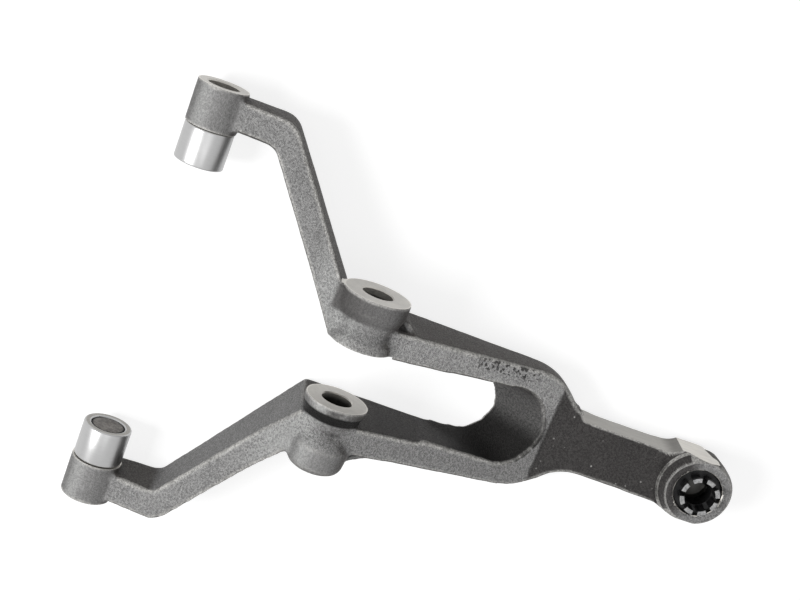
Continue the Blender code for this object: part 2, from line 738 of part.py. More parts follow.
def rod_clip(parts, guides):
    """Return the plastic clip: a sleeve and ring in the socket, with a crown of snap fingers."""
    ring_low = MOUTH_FLOOR + SEAT_GAP
    ring_high = ring_low + CLIP_RING_THICKNESS
    ring_radius = SOCKET_MOUTH_RADIUS - SEAT_GAP
    sleeve_radius = SOCKET_BORE_RADIUS - SEAT_GAP
    sleeve_low = SOCKET_FLOOR + SEAT_GAP
    neck_radius = CLIP_THROAT_RADIUS + CLIP_WALL
    tip = END_FACE_HEIGHT + CLIP_TIP_RISE
    clip = turned("rod_clip", [
        (CLIP_TIP_RADIUS, tip),
        (CLIP_TIP_RADIUS, tip - CLIP_TIP_THICKNESS),
        (neck_radius, ring_high),
        (ring_radius, ring_high),
        (ring_radius, ring_low),
        (sleeve_radius, ring_low),
        (sleeve_radius, sleeve_low),
        (sleeve_radius - CLIP_WALL, sleeve_low),
        (CLIP_THROAT_RADIUS, ring_high),
        (CLIP_THROAT_RADIUS, tip),
    ], parts, ring=True)
    slots = finger_slots(ring_high + CLIP_SLOT_ROOT, tip + BEYOND,
                         CLIP_THROAT_RADIUS / 2, ring_radius, guides)
    combine(clip, "DIFFERENCE", slots)
    clip.location = (0.0, SOCKET_REACH, 0.0)
    slots.location = clip.location
    return clip


def finish(obj, surface):
    """Give a piece its material and smooth shading between sharp edges."""
    obj.data.materials.clear()
    obj.data.materials.append(surface)
    obj.data.shade_smooth()
    obj.data.set_sharp_from_angle(angle=SHARP_ANGLE)


clear_scene()
part_collection = new_collection("clutch_fork")
guide_collection = new_collection("guides")
fork_frame = bpy.data.objects.new("fork frame", None)
part_collection.objects.link(fork_frame)
fork_frame.location = (0.0, -MIDDLE_PLACE, 0.0)

forged_steel = new_material("forged steel", (0.18, 0.175, 0.165), 0.55, 0.8)
pin_steel = new_material("pin steel", (0.42, 0.42, 0.42), 0.35, 1.0)
roller_steel = new_material("roller steel", (0.6, 0.6, 0.6), 0.2, 1.0)
clip_plastic = new_material("clip plastic", (0.02, 0.02, 0.022), 0.45, 0.0)

finish(fork_body(part_collection, guide_collection), forged_steel)
for side_name, side_sign in (("left", -1), ("right", 1)):
    finish(pin(f"pin_{side_name}", side_sign, part_collection), pin_steel)
    finish(roller(f"roller_{side_name}", side_sign, part_collection), roller_steel)
finish(rod_clip(part_collection, guide_collection), clip_plastic)
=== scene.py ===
"""Looks of the clutch fork: its blasted forging, machined faces, rollers, pins and snap clip.

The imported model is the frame. The forging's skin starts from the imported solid: stock is
put on wherever the real part is machined, the whole is softened as a forging is, and
turned and milled cuts then open the crisp faces and bores. All sizes are in metres.
"""

import json
import math

import bmesh
import bpy
from bpy.props import FloatProperty, FloatVectorProperty, IntProperty, PointerProperty
from mathutils import Matrix, Vector, noise


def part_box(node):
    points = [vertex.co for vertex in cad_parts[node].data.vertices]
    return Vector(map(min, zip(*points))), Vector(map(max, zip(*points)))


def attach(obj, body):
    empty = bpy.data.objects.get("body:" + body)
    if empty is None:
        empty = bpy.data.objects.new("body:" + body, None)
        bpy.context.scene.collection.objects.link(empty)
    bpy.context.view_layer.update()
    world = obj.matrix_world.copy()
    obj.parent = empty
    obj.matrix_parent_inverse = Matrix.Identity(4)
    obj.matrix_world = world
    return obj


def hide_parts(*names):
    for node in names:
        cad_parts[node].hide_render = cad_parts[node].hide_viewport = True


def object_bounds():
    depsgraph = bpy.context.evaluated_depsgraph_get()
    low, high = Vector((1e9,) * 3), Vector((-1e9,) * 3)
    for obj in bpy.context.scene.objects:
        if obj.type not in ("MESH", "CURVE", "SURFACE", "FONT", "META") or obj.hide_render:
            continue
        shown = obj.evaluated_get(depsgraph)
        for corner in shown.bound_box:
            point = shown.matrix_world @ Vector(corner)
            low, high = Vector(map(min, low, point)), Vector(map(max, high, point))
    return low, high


bl_info = {
    "name": "Clutch Fork Looks",
    "version": (1, 0, 0),
    "blender": (4, 5, 0),
    "location": "3D View > Sidebar > Clutch Fork",
    "description": "Builds the forged skin, rollers, pins, snap clip and studio of a clutch fork",
    "category": "Object",
}

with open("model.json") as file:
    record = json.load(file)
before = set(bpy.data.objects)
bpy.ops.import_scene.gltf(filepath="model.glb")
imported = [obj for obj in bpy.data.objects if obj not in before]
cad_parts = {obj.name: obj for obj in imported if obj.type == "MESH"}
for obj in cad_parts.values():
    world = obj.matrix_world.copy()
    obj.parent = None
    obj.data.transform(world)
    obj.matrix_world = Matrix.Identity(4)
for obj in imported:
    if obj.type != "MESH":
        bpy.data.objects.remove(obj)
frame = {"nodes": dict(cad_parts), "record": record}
bpy.context.view_layer.update()
cad_low, cad_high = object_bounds()
mounts = {mount["name"]: Vector(mount["pos_m"]) for mount in frame["record"]["mounts"]}
SHAFT = mounts["fork_shaft"]
CLIP_LOW, CLIP_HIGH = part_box("rod_clip")
SOCKET_Y = (CLIP_LOW.y + CLIP_HIGH.y) / 2
END_FACE_Z = mounts["socket_face"].z
PIN_LOW, PIN_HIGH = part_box("pin_left")
PIN_CENTRE = (PIN_LOW + PIN_HIGH) / 2
SIDES = (("left", -1), ("right", 1))

# The forging's material slots
ROUGH, BOSS, FLANGE, END, MILLED, BORED, SOCKET = range(7)

# Stock: how far it sinks into the solid, or stops short of a face
OUTER_OVERLAP = 0.004
INNER_OVERLAP = 0.003
PLUG_SHORT = 0.0001
SOCKET_PLUG = 0.002

# Cuts: how far they reach past the metal, and what else their shapes need
BEYOND = 0.01
FLANGE_SPACE = 0.008
ROLLER_SPACE = 0.012
END_CHAMFER = 0.0006
SOCKET_CHAMFER = 0.0004
SOCKET_FLOOR = ((0.0082, 0.0105), (0.0074, 0.0083), (0.0048, 0.0066), (0, 0.006))
SHOULDER_LEAN = 0.0006
SHOULDER_ABOVE = 0.001
SHOULDER_REACH = 0.034
MILL_REACH = 0.05
MILL_HEIGHTS = (-0.01, 0.06)

# Where a face of the forging counts as lying on a cut
FACING_LEFT = -0.05
LEVER_SIDE_X = -0.012
PIVOT_X = 0.008
END_X = 0.08
SOCKET_Z = 0.0055
BORE_SLACK = 1e-4
MOUTH_SLACK = 5e-5
PLANE_SLACK = 2e-5
MILL_SLACK = 3e-5
HOLLOW_SLACK = 1e-4
HOLLOW_LENGTH = 0.012

# The forging's skin: nearness of merged points, waves per metre and blurs of the ridge value
SAME_PLACE = 1e-6
LONG_WAVES = 60.0
SHORT_WAVES = 260.0
RIDGE_BLURS = 2

# Pins and clip; a finger's tip is a line of (radius, drop below the clip's top)
PIN_SHOULDER = 0.0008
PIN_DIMPLE = 0.0003
RING_HOLE = 0.0066
RING_THICKNESS = 0.0010
SLEEVE_HOLE = 0.0078
FINGER_MIDDLE = 0.008
FINGER_ROOT = (0.0067, 0.0084)
FINGER_TIP = ((0.0070, 0.0012), (0.0071, 0), (0.0093, 0), (0.0095, 0.0005), (0.0095, 0.0016),
              (0.0086, 0.0022))

# Steps of the skin's masks: 0 at the first number and 1 at the second, in metres
UPPER_ARM_X, UPPER_ARM_Y = (-0.005, -0.018), (-0.040, -0.020)
BEND_Y = (0.0530, 0.0548)
BEFORE_SOCKET = (0.0020, 0.0090)
END_FACE_RIM = (0.0150, 0.0156)
END_FACE_SHADE = (0.0150, 0.0145)
NO_RIDGE = (0.0143, 0.0155)
BOSS_WALL, BOSS_WALL_X = (0.0185, 0.0165), (-0.030, -0.032)
BOSS_SHADE_Y = (-0.0380, -0.0520)
FLANGE_WALL = (0.0165, 0.0155)
ROUGH_BOSS, ROUGH_BOSS_X = (0.0180, 0.0160), (0.0270, 0.0300)
END_BOSS = (0.0135, 0.0122)
WINDOW_X = (0.0215, 0.0195)
WINDOW_START_Y, WINDOW_END_Y = (-0.0300, -0.0200), (0.0560, 0.0520)
WINDOW_DEEP_X, WINDOW_DEEP_Y = (-0.0050, 0.0070), (0.0000, 0.0220)
FLANGE_GAP = (0.0200, 0.0175)
LOWER_EDGE_Y = (0.115, 0.105)

# Bands of the skin's masks: their middle and half their width, in metres
INNER_ARC = (0.0151, 0.0005)
OUTER_ARC = (0.0181, 0.0007)
FLANGE_WALL_X = (0.0105, 0.0035)
FLANGE_GAP_X = (0.0148, 0.0030)
PITTED_X, PITTED_Y = (-0.0275, 0.0050), (0.0250, 0.0190)

# Studio: each lamp is its name, place, size and power; the fill is the share of the background's
# light that falls on the fork
FLOOR_HALF = 3.0
FLOOR_GAP = 0.0003
FILL = 0.3
LAMPS = (("key", (0.15, -0.75, 0.8), 0.4, 8.0), ("top", (0.1, 0.15, 1.2), 0.6, 1.2))
CAMERA_PLACE = (-0.2039, -0.10575, 0.6170)
CAMERA_RIGHT = (-0.3535, 0.9353, 0.0184)
CAMERA_UP = (-0.8969, -0.3333, -0.2906)


def length(name, description, default):
    """A length property in metres."""
    return FloatProperty(name=name, description=description, default=default, min=0.0,
                         precision=5, unit="LENGTH")


def colour(name, description, default):
    """A colour property."""
    return FloatVectorProperty(name=name, description=description, default=default,
                               subtype="COLOR", size=3, min=0.0, max=1.0)


class ForkSizes(bpy.types.PropertyGroup):
    """Sizes of the finish and of the cuts."""

    skin_grid: length("Skin grid", "Side of the small squares of the forging's skin", 0.00088)
    softening: IntProperty(name="Softening", description="Smoothing passes that round the forging",
                           default=16, min=0, max=40)
    waviness: length("Waviness", "Height of the forging's shallow waves", 0.00016)
    stock: length("Stock", "Metal left on a face before it is machined", 0.0016)
    pivot_bore: length("Pivot bore", "Radius of the bores for the fork shaft", 0.0069)
    pivot_chamfer: length("Pivot chamfer", "Chamfer at the mouths of the pivot bores", 0.0005)
    spot_face: length("Spot face", "Radius of the cut that sinks the left inner face", 0.0158)
    boss_facing: length("Boss facing", "Radius of the cut that faces the left outer boss", 0.0168)
    flange_facing: length("Flange facing", "Radius of the cut that faces the right flange", 0.0165)
    end_bore: length("End bore", "Radius of the bores that hold the pins", 0.007)
    end_facing: length("End facing", "Radius of the cuts that face the end bosses", 0.0125)
    socket_mouth: length("Socket mouth", "Radius of the rod socket at its mouth", 0.0113)
    socket_bore: length("Socket bore", "Radius of the rod socket below the clip's ring", 0.0097)
    socket_ledge: length("Socket ledge", "Depth of the ledge that the clip's ring sits on", 0.0035)
    shoulder_top: length("Shoulder top", "Radius of the lever end's raised face", 0.0151)
    shoulder_foot: length("Shoulder foot", "Radius of the cone that leads up to that face", 0.0181)
    shoulder_low: length("Shoulder height", "Height of the cone's foot", 0.0181)
    lever_flat: length("Lever flat", "Distance of the milled flat from the lever's middle", 0.0124)
    flat_start: length("Flat start", "Distance of the flat's start from the socket's middle",
                       0.0622)
    flat_corner: length("Flat corner", "Radius of the cut at the flat's start", 0.0025)
    pad_line: length("Pad", "Distance of the machined pad from the lever's middle", 0.0154)
    pad_start: length("Pad start", "Distance of the pad's start from the socket's middle", 0.0131)
    pad_end: length("Pad end", "Distance of the pad's end beyond the socket's middle", 0.008)
    run_out: length("Run-out", "Radius of the hollow between the flat and the pad", 0.0125)
    play: length("Play", "Gap between a roller or the clip and the metal beside it", 0.0003)
    boss_stock: length("Boss stock", "Radius of the left outer boss before it is faced", 0.0153)
    flange_stock: length("Flange stock", "Radius of the inner flanges before facing", 0.0143)
    end_stock: length("End stock", "Radius of the end bosses before they are faced", 0.0115)
    socket_stock: length("Socket stock", "Radius of the metal that fills the socket", 0.0135)
    roller_edge: length("Roller edge", "Rounding of the rollers' rims", 0.0007)
    pin_edge: length("Pin edge", "Rounding of the pins' rims", 0.0004)
    finger_slot: length("Finger slot", "Gap between two fingers of the clip", 0.0022)
    finger_turn: FloatProperty(name="Finger turn",
                               description="Angle of the clip's first finger from the +X side",
                               default=-0.26, subtype="ANGLE", unit="ROTATION")
    finger_edge: length("Finger edge", "Rounding of the clip's edges", 0.00025)


class ForkColours(bpy.types.PropertyGroup):
    """Base colours of the finishes, and of the painted light and shade."""

    blasted: colour("Blasted steel", "Shot-blasted front faces", (0.26, 0.257, 0.255))
    # Painted light: the fronts turned to -Y, the splayed lengths, are lit lighter.
    lit_splay: colour("Splayed faces", "Lighter fronts of the splayed lengths", (0.345, 0.345, 0.34))
    # Painted highlight: ridges, the arcs round the lever's raised end and the lever's bright
    # specks.
    painted_highlight: colour("Rubbed ridge", "Ridges and specks rubbed bright", (0.5, 0.49, 0.47))
    # Painted shade in creases, in the gap beside the right flange and deep in the window, and old
    # scale in pits.
    shade_and_scale: colour("Crease", "Creases and pits with old scale in them", (0.02, 0.019, 0.018))
    # Browner sides of the forging, darkened with painted shade; also the painted shade on the
    # ridges' +X side.
    shaded_flank: colour("Forged flank", "Sides of the forging, browner and darker", (0.085, 0.079, 0.074))
    # The lever's own darker colour, also used for painted shade on the boss walls, the window's
    # walls and the end face before the socket.
    lever: colour("Dark lever", "Darker front face of the lever", (0.052, 0.049, 0.048))
    faced: colour("Faced steel", "Turned and milled faces", (0.62, 0.60, 0.56))
    roller: colour("Roller steel", "Ground and polished rollers", (0.45, 0.45, 0.45))
    pin: colour("Pin steel", "Turned pins", (0.13, 0.12, 0.11))
    clip: colour("Clip plastic", "Moulded plastic of the clip", (0.012, 0.012, 0.013))
    # Painted sheen on the flat tips of the clip's fingers.
    fingertip_sheen: colour("Finger tips", "Scuffed tips of the clip's fingers", (0.4, 0.4, 0.4))
    floor: colour("Floor", "Studio floor", (0.35, 0.35, 0.35))


# Places of the CAD nodes

def centre_of(node):
    """The middle of a CAD node."""
    low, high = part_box(node)
    return (low + high) / 2


def radius_of(node):
    """The radius of a round CAD node that lies along X."""
    low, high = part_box(node)
    return (high.z - low.z) / 2


def span_x(node):
    """The distances of a CAD node's near and far ends from the middle plane."""
    low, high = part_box(node)
    return sorted((abs(low.x), abs(high.x)))


# Meshes

def new_object(name, bm, materials):
    """An object at the origin made of a bmesh, with its materials."""
    mesh = bpy.data.meshes.new(name)
    bm.to_mesh(mesh)
    bm.free()
    obj = bpy.data.objects.new(name, mesh)
    bpy.context.scene.collection.objects.link(obj)
    for material in materials:
        mesh.materials.append(material)
    return obj


def baked(obj):
    """Turn an object's modifiers into its mesh."""
    bpy.context.view_layer.update()
    evaluated = obj.evaluated_get(bpy.context.evaluated_depsgraph_get())
    mesh = bpy.data.meshes.new_from_object(evaluated)
    obj.modifiers.clear()
    obj.data = mesh


def discard(obj):
    """Remove a helper object."""
    bpy.data.objects.remove(obj)


def along_x(centre, side):
    """The frame of a turned piece whose Z axis points outboard along X."""
    outboard = Matrix.Rotation(side * math.pi / 2, 4, "Y")
    return Matrix.Translation((0.0, centre.y, centre.z)) @ outboard


def turned_bmesh(profile, place, steps, closed):
    """A bmesh of a (radius, height) profile spun round Z and put in place, faces outwards."""
    bm = bmesh.new()
    verts = [bm.verts.new((radius, 0.0, height)) for radius, height in profile]
    edges = [bm.edges.new(pair) for pair in zip(verts, verts[1:])]
    if closed:
        edges.append(bm.edges.new((verts[-1], verts[0])))
    bmesh.ops.spin(bm, geom=verts + edges, cent=(0, 0, 0), axis=(0, 0, 1), dvec=(0, 0, 0),
                   angle=math.tau, steps=steps, use_merge=True, use_duplicate=False)
    bmesh.ops.remove_doubles(bm, verts=bm.verts[:], dist=SAME_PLACE)
    bmesh.ops.recalc_face_normals(bm, faces=bm.faces[:])
    bmesh.ops.transform(bm, matrix=place, verts=bm.verts[:])
    return bm


def join_into(bm, other):
    """Add another bmesh to this one."""
    mesh = bpy.data.meshes.new("joined")
    other.to_mesh(mesh)
    other.free()
    bm.from_mesh(mesh)
    bpy.data.meshes.remove(mesh)


def drum(bm, place, start, end, radius):
    """Add a plain drum along the Z axis of a place, from start to end."""
    middle = place @ Matrix.Translation((0, 0, (start + end) / 2))
    bmesh.ops.create_cone(bm, cap_ends=True, segments=64, radius1=radius, radius2=radius,
                          depth=end - start, matrix=middle)


def extrude(bm, faces, offset):
    """Extrude faces by an offset."""
    raised = bmesh.ops.extrude_face_region(bm, geom=faces)["geom"]
    moved = [item for item in raised if isinstance(item, bmesh.types.BMVert)]
    bmesh.ops.translate(bm, verts=moved, vec=offset)


def upright_prism(bm, outline, low, high):
    """Add a prism over an (x, y) outline between two heights."""
    face = bm.faces.new([bm.verts.new((x, y, low)) for x, y in outline])
    extrude(bm, [face], (0, 0, high - low))
    bmesh.ops.recalc_face_normals(bm, faces=bm.faces[:])


def bevel_rims(bm, offset, segments, angle=math.radians(40)):
    """Round every edge that is sharper than an angle."""
    sharp = [edge for edge in bm.edges
             if len(edge.link_faces) == 2 and edge.calc_face_angle(0.0) > angle]
    bmesh.ops.bevel(bm, geom=sharp, offset=offset, offset_type="OFFSET", segments=segments,
                    profile=0.5, affect="EDGES", clamp_overlap=True, material=-1)


def smooth_by_angle(obj, degrees=35):
    """Shade an object smooth between its sharp edges."""
    obj.data.shade_smooth()
    obj.data.set_sharp_from_angle(angle=math.radians(degrees))


# Forging

def even_turns(last, steps):
    """Angles from 0 to a last one in even steps."""
    return [last * step / steps for step in range(steps + 1)]


def flat_outline(sizes):
    """The (x, y) line of the milled flat with its start, the hollow and the pad."""
    corner, rise = sizes.flat_corner, sizes.pad_line - sizes.lever_flat
    start = SOCKET_Y - sizes.flat_start
    entry = [(-sizes.lever_flat - corner * (1 - math.sin(turn)),
              start + corner * (1 - math.cos(turn))) for turn in even_turns(math.pi / 2, 6)]
    reach = math.sqrt(2 * sizes.run_out * rise - rise * rise)
    last = math.asin(reach / sizes.run_out)
    pad_y = SOCKET_Y - sizes.pad_start
    hollow = [(-sizes.lever_flat - sizes.run_out * (1 - math.cos(turn)),
               pad_y - reach + sizes.run_out * math.sin(turn)) for turn in even_turns(last, 10)]
    return entry + hollow + [(-sizes.pad_line, SOCKET_Y + sizes.pad_end)]


def beside_lever(face, sizes):
    """True for an upright solid face along the milled line, up to the socket's middle."""
    middle = face.calc_center_median()
    return (face.normal.x < FACING_LEFT and abs(face.normal.z) < 0.01
            and middle.x < LEVER_SIDE_X and -sizes.flat_start < middle.y - SOCKET_Y < 0)


def stock_solids(bm, sizes):
    """Add metal over each machined face and fill each bore."""
    extra = sizes.stock
    extrude(bm, [face for face in bm.faces if beside_lever(face, sizes)], (-extra, 0, 0))
    left, right = along_x(SHAFT, -1), along_x(SHAFT, 1)
    left_face = -mounts["outer_face_left"].x
    left_inner = -mounts["inner_face_left"].x
    right_inner = mounts["inner_face_right"].x
    plug = sizes.pivot_bore + extra
    drum(bm, left, left_face - OUTER_OVERLAP, left_face + extra, sizes.boss_stock)
    drum(bm, left, left_inner - extra, left_face, plug)
    drum(bm, left, left_inner - extra, left_inner + INNER_OVERLAP, sizes.flange_stock)
    drum(bm, right, right_inner, left_face - PLUG_SHORT, plug)
    drum(bm, right, right_inner - extra, right_inner + INNER_OVERLAP, sizes.flange_stock)
    for name, side in SIDES:
        inner = span_x(f"roller_{name}")[1] + sizes.play
        drum(bm, along_x(centre_of(f"pin_{name}"), side), inner - extra, cad_high.x + extra,
             sizes.end_stock)
    drum(bm, Matrix.Translation((0, SOCKET_Y, 0)), SOCKET_PLUG, END_FACE_Z - SOCKET_PLUG,
         sizes.socket_stock)


class CLUTCHFORK_OT_forging(bpy.types.Operator):
    """Build the forging's skin with its machined faces"""

    bl_idname = "clutchfork.forging"
    bl_label = "Forging"

    def execute(self, context):
        sizes = context.scene.fork_sizes
        bm = bmesh.new()
        bm.from_mesh(frame["nodes"]["fork_body"].data)
        bmesh.ops.remove_doubles(bm, verts=bm.verts[:], dist=SAME_PLACE)
        stock_solids(bm, sizes)
        skin = new_object("forging", bm, [])
        remesh = skin.modifiers.new("skin", "REMESH")
        remesh.mode = "VOXEL"
        remesh.voxel_size = sizes.skin_grid
        soften = skin.modifiers.new("soften", "SMOOTH")
        soften.factor = 0.5
        soften.iterations = sizes.softening
        baked(skin)
        wave(skin, sizes.waviness)
        for cutter in cutters(sizes):
            cut = skin.modifiers.new(cutter.name, "BOOLEAN")
            cut.operation = "DIFFERENCE"
            cut.solver = "MANIFOLD"
            cut.object = cutter
            baked(skin)
            discard(cutter)
        if not skin.data.polygons:
            raise RuntimeError("the forging's cuts left nothing")
        dress_forging(skin, sizes)
        mark_ridges(skin)
        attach(skin, "fork")
        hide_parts("fork_body")
        return {"FINISHED"}


def places_and_normals(skin):
    """Copies of a skin's vertex places and normals, which don't change when a vertex moves."""
    vertices = skin.data.vertices
    return [vertex.co.copy() for vertex in vertices], [vertex.normal.copy() for vertex in vertices]


def wave(skin, height):
    """Give the forging its shallow unevenness: long low waves with short ones on them."""
    for vertex, place, normal in zip(skin.data.vertices, *places_and_normals(skin)):
        long = 0.7 * noise.noise(place * LONG_WAVES)
        short = 0.45 * noise.noise(place * SHORT_WAVES + Vector((7.0, 1.0, 3.0)))
        vertex.co = place + normal * (height * (long + short))


def cutters(sizes):
    """The turned and milled cuts, one tool solid each."""
    bore, chamfer = sizes.pivot_bore, sizes.pivot_chamfer
    face = -mounts["outer_face_left"].x
    left_inner = -mounts["inner_face_left"].x
    right_inner = mounts["inner_face_right"].x
    at_socket = Matrix.Translation((0, SOCKET_Y, 0))
    tools = []

    def tool(name, place, profile, closed=False):
        tools.append(new_object(name, turned_bmesh(profile, place, 128, closed), []))

    tool("left pivot", along_x(SHAFT, -1), [
        (0, face + BEYOND), (sizes.boss_facing, face + BEYOND), (sizes.boss_facing, face),
        (bore + chamfer, face), (bore, face - chamfer), (bore, left_inner + chamfer),
        (bore + chamfer, left_inner), (sizes.spot_face, left_inner),
        (sizes.spot_face, left_inner - FLANGE_SPACE), (0, left_inner - FLANGE_SPACE),
    ])
    tool("right pivot", along_x(SHAFT, 1), [
        (0, face + BEYOND), (bore + BEYOND + chamfer, face + BEYOND), (bore, face - chamfer),
        (bore, right_inner + chamfer), (bore + chamfer, right_inner),
        (sizes.flange_facing, right_inner), (sizes.flange_facing, right_inner - FLANGE_SPACE),
        (0, right_inner - FLANGE_SPACE),
    ])
    for name, side in SIDES:
        inner, outer = span_x(f"roller_{name}")[1] + sizes.play, cad_high.x
        tool(f"{name} end", along_x(centre_of(f"pin_{name}"), side), [
            (0, outer + BEYOND), (sizes.end_facing, outer + BEYOND), (sizes.end_facing, outer),
            (sizes.end_bore + END_CHAMFER, outer), (sizes.end_bore, outer - END_CHAMFER),
            (sizes.end_bore, inner), (sizes.end_facing, inner),
            (sizes.end_facing, inner - ROLLER_SPACE), (0, inner - ROLLER_SPACE),
        ])
    mouth, seat, top = sizes.socket_mouth, sizes.socket_bore, END_FACE_Z
    tool("socket", at_socket, [
        (0, top + BEYOND), (mouth + SOCKET_CHAMFER + BEYOND, top + BEYOND),
        (mouth, top - SOCKET_CHAMFER), (mouth, top - sizes.socket_ledge),
        (seat, top - sizes.socket_ledge), (seat, SOCKET_FLOOR[0][1]), *SOCKET_FLOOR,
    ])
    tool("shoulder", at_socket, [
        (sizes.shoulder_top - SHOULDER_LEAN, top + SHOULDER_ABOVE),
        (sizes.shoulder_foot, sizes.shoulder_low), (SHOULDER_REACH, sizes.shoulder_low),
        (SHOULDER_REACH, top + SHOULDER_ABOVE),
    ], closed=True)
    bm = bmesh.new()
    line = flat_outline(sizes)
    outline = [(-MILL_REACH, line[0][1])] + line + [(-MILL_REACH, line[-1][1])]
    upright_prism(bm, outline, *MILL_HEIGHTS)
    tools.append(new_object("mill", bm, []))
    return tools


def dress_forging(skin, sizes):
    """Give each face of the forging the finish of the cut that made it."""
    skin.data.materials.clear()
    for material in (blasted_steel(),
                     faced_steel("faced boss", SHAFT, 0.00036, sizes.boss_stock),
                     faced_steel("faced flange", SHAFT, 0.00036, sizes.flange_stock),
                     faced_steel("faced end", PIN_CENTRE, 0.0003, sizes.end_stock),
                     milled_steel(sizes),
                     bored_steel("bored steel", 0.3),
                     bored_steel("socket steel", 0.05)):
        skin.data.materials.append(material)
    planes = (
        (mounts["outer_face_left"].x, sizes.boss_facing, BOSS),
        (mounts["inner_face_left"].x, sizes.spot_face, FLANGE),
        (mounts["inner_face_right"].x, sizes.flange_facing, FLANGE),
    )
    ends = (cad_high.x, span_x("roller_right")[1] + sizes.play)
    for polygon in skin.data.polygons:
        polygon.material_index = finish_of(polygon.center, polygon.normal, planes, ends, sizes)
    smooth_by_angle(skin, 30)


def finish_of(centre, normal, planes, ends, sizes):
    """The slot of a face's finish, found from the cut whose surface the face lies on."""
    from_shaft = math.hypot(centre.y - SHAFT.y, centre.z - SHAFT.z)
    from_pin = math.hypot(centre.y - PIN_CENTRE.y, centre.z - PIN_CENTRE.z)
    from_socket = math.hypot(centre.x, centre.y - SOCKET_Y)
    if abs(centre.x) > PIVOT_X and from_shaft < sizes.pivot_bore + BORE_SLACK:
        return BORED
    if abs(centre.x) > PIVOT_X and from_shaft < sizes.pivot_bore + sizes.pivot_chamfer:
        return BOSS
    if abs(centre.x) > END_X and from_pin < sizes.end_bore + BORE_SLACK:
        return BORED
    if abs(centre.x) > END_X and from_pin < sizes.end_bore + END_CHAMFER:
        return END
    if centre.z > SOCKET_Z and from_socket < sizes.socket_mouth + MOUTH_SLACK:
        return SOCKET
    if centre.z > SOCKET_Z and from_socket < sizes.socket_mouth + SOCKET_CHAMFER:
        return BOSS
    if abs(normal.x) > 0.999:
        for x, radius, finish in planes:
            if abs(centre.x - x) < PLANE_SLACK and from_shaft < radius:
                return finish
        off_end = min(abs(abs(centre.x) - x) for x in ends)
        if off_end < PLANE_SLACK and from_pin < sizes.end_facing:
            return END
    if normal.x < FACING_LEFT and abs(normal.z) < 0.002 and on_mill_line(centre, sizes):
        return MILLED
    return ROUGH


def on_mill_line(point, sizes):
    """True if a point lies on the milled flat, the hollow or the pad."""
    along = point.y - SOCKET_Y
    if point.x > MILL_SLACK - sizes.lever_flat or not -sizes.flat_start < along < sizes.pad_end:
        return False
    if min(abs(point.x + sizes.lever_flat), abs(point.x + sizes.pad_line)) < MILL_SLACK:
        return True
    at_corner = along < sizes.flat_corner - sizes.flat_start
    in_hollow = -sizes.pad_start - HOLLOW_LENGTH < along < HOLLOW_SLACK - sizes.pad_start
    return at_corner or in_hollow


def mark_ridges(skin):
    """Store where the skin stands out or falls in: above 0 on ridges, below 0 in creases."""
    places, normals = places_and_normals(skin)
    pairs = [tuple(edge.vertices) for edge in skin.data.edges]
    rise = [0.0] * len(places)
    count = [0] * len(places)
    for first, second in pairs:
        line = (places[second] - places[first]).normalized()
        rise[first] -= line.dot(normals[first])
        rise[second] += line.dot(normals[second])
        count[first] += 1
        count[second] += 1
    rise = [value / max(number, 1) for value, number in zip(rise, count)]
    for _ in range(RIDGE_BLURS):
        total = rise[:]
        for first, second in pairs:
            total[first] += rise[second]
            total[second] += rise[first]
        rise = [value / (number + 1) for value, number in zip(total, count)]
    ridge = skin.data.attributes.new("ridge", "FLOAT", "POINT")
    ridge.data.foreach_set("value", rise)


# Rollers, pins and clip

class CLUTCHFORK_OT_rollers(bpy.types.Operator):
    """Build the two rollers"""

    bl_idname = "clutchfork.rollers"
    bl_label = "Rollers"

    def execute(self, context):
        sizes = context.scene.fork_sizes
        ground = roller_steel()
        for name, side in SIDES:
            centre = centre_of(f"roller_{name}")
            near, far = span_x(f"roller_{name}")
            outer = radius_of(f"roller_{name}")
            bore = radius_of(f"pin_{name}") + sizes.play
            bm = turned_bmesh([(bore, far), (outer, far), (outer, near), (bore, near)],
                              along_x(centre, side), 128, True)
            bevel_rims(bm, sizes.roller_edge, 4)
            for face in bm.faces:
                face.material_index = 1 if abs(face.normal.x) > 0.99 else 0
            faced = faced_steel(f"roller end {name}", centre, 0.00024, outer, 0.6)
            roller = new_object(f"roller_{name}_skin", bm, [ground, faced])
            smooth_by_angle(roller)
            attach(roller, f"{name}_roller")
            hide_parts(f"roller_{name}")
        return {"FINISHED"}


class CLUTCHFORK_OT_pins(bpy.types.Operator):
    """Build the two shouldered pins"""

    bl_idname = "clutchfork.pins"
    bl_label = "Pins"

    def execute(self, context):
        sizes = context.scene.fork_sizes
        journal = radius_of("pin_left")
        shank = journal - PIN_SHOULDER
        turned = pin_steel(PIN_CENTRE, journal)
        for name, side in SIDES:
            near, far = span_x(f"pin_{name}")
            seat = span_x(f"roller_{name}")[1]
            bm = turned_bmesh([
                (0, far), (shank, far), (shank, seat), (journal, seat), (journal, near),
                (journal * 0.3, near), (0, near + PIN_DIMPLE),
            ], along_x(centre_of(f"pin_{name}"), side), 96, False)
            bevel_rims(bm, sizes.pin_edge, 3)
            pin = new_object(f"pin_{name}_skin", bm, [turned])
            smooth_by_angle(pin)
            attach(pin, "fork")
            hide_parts(f"pin_{name}")
        return {"FINISHED"}


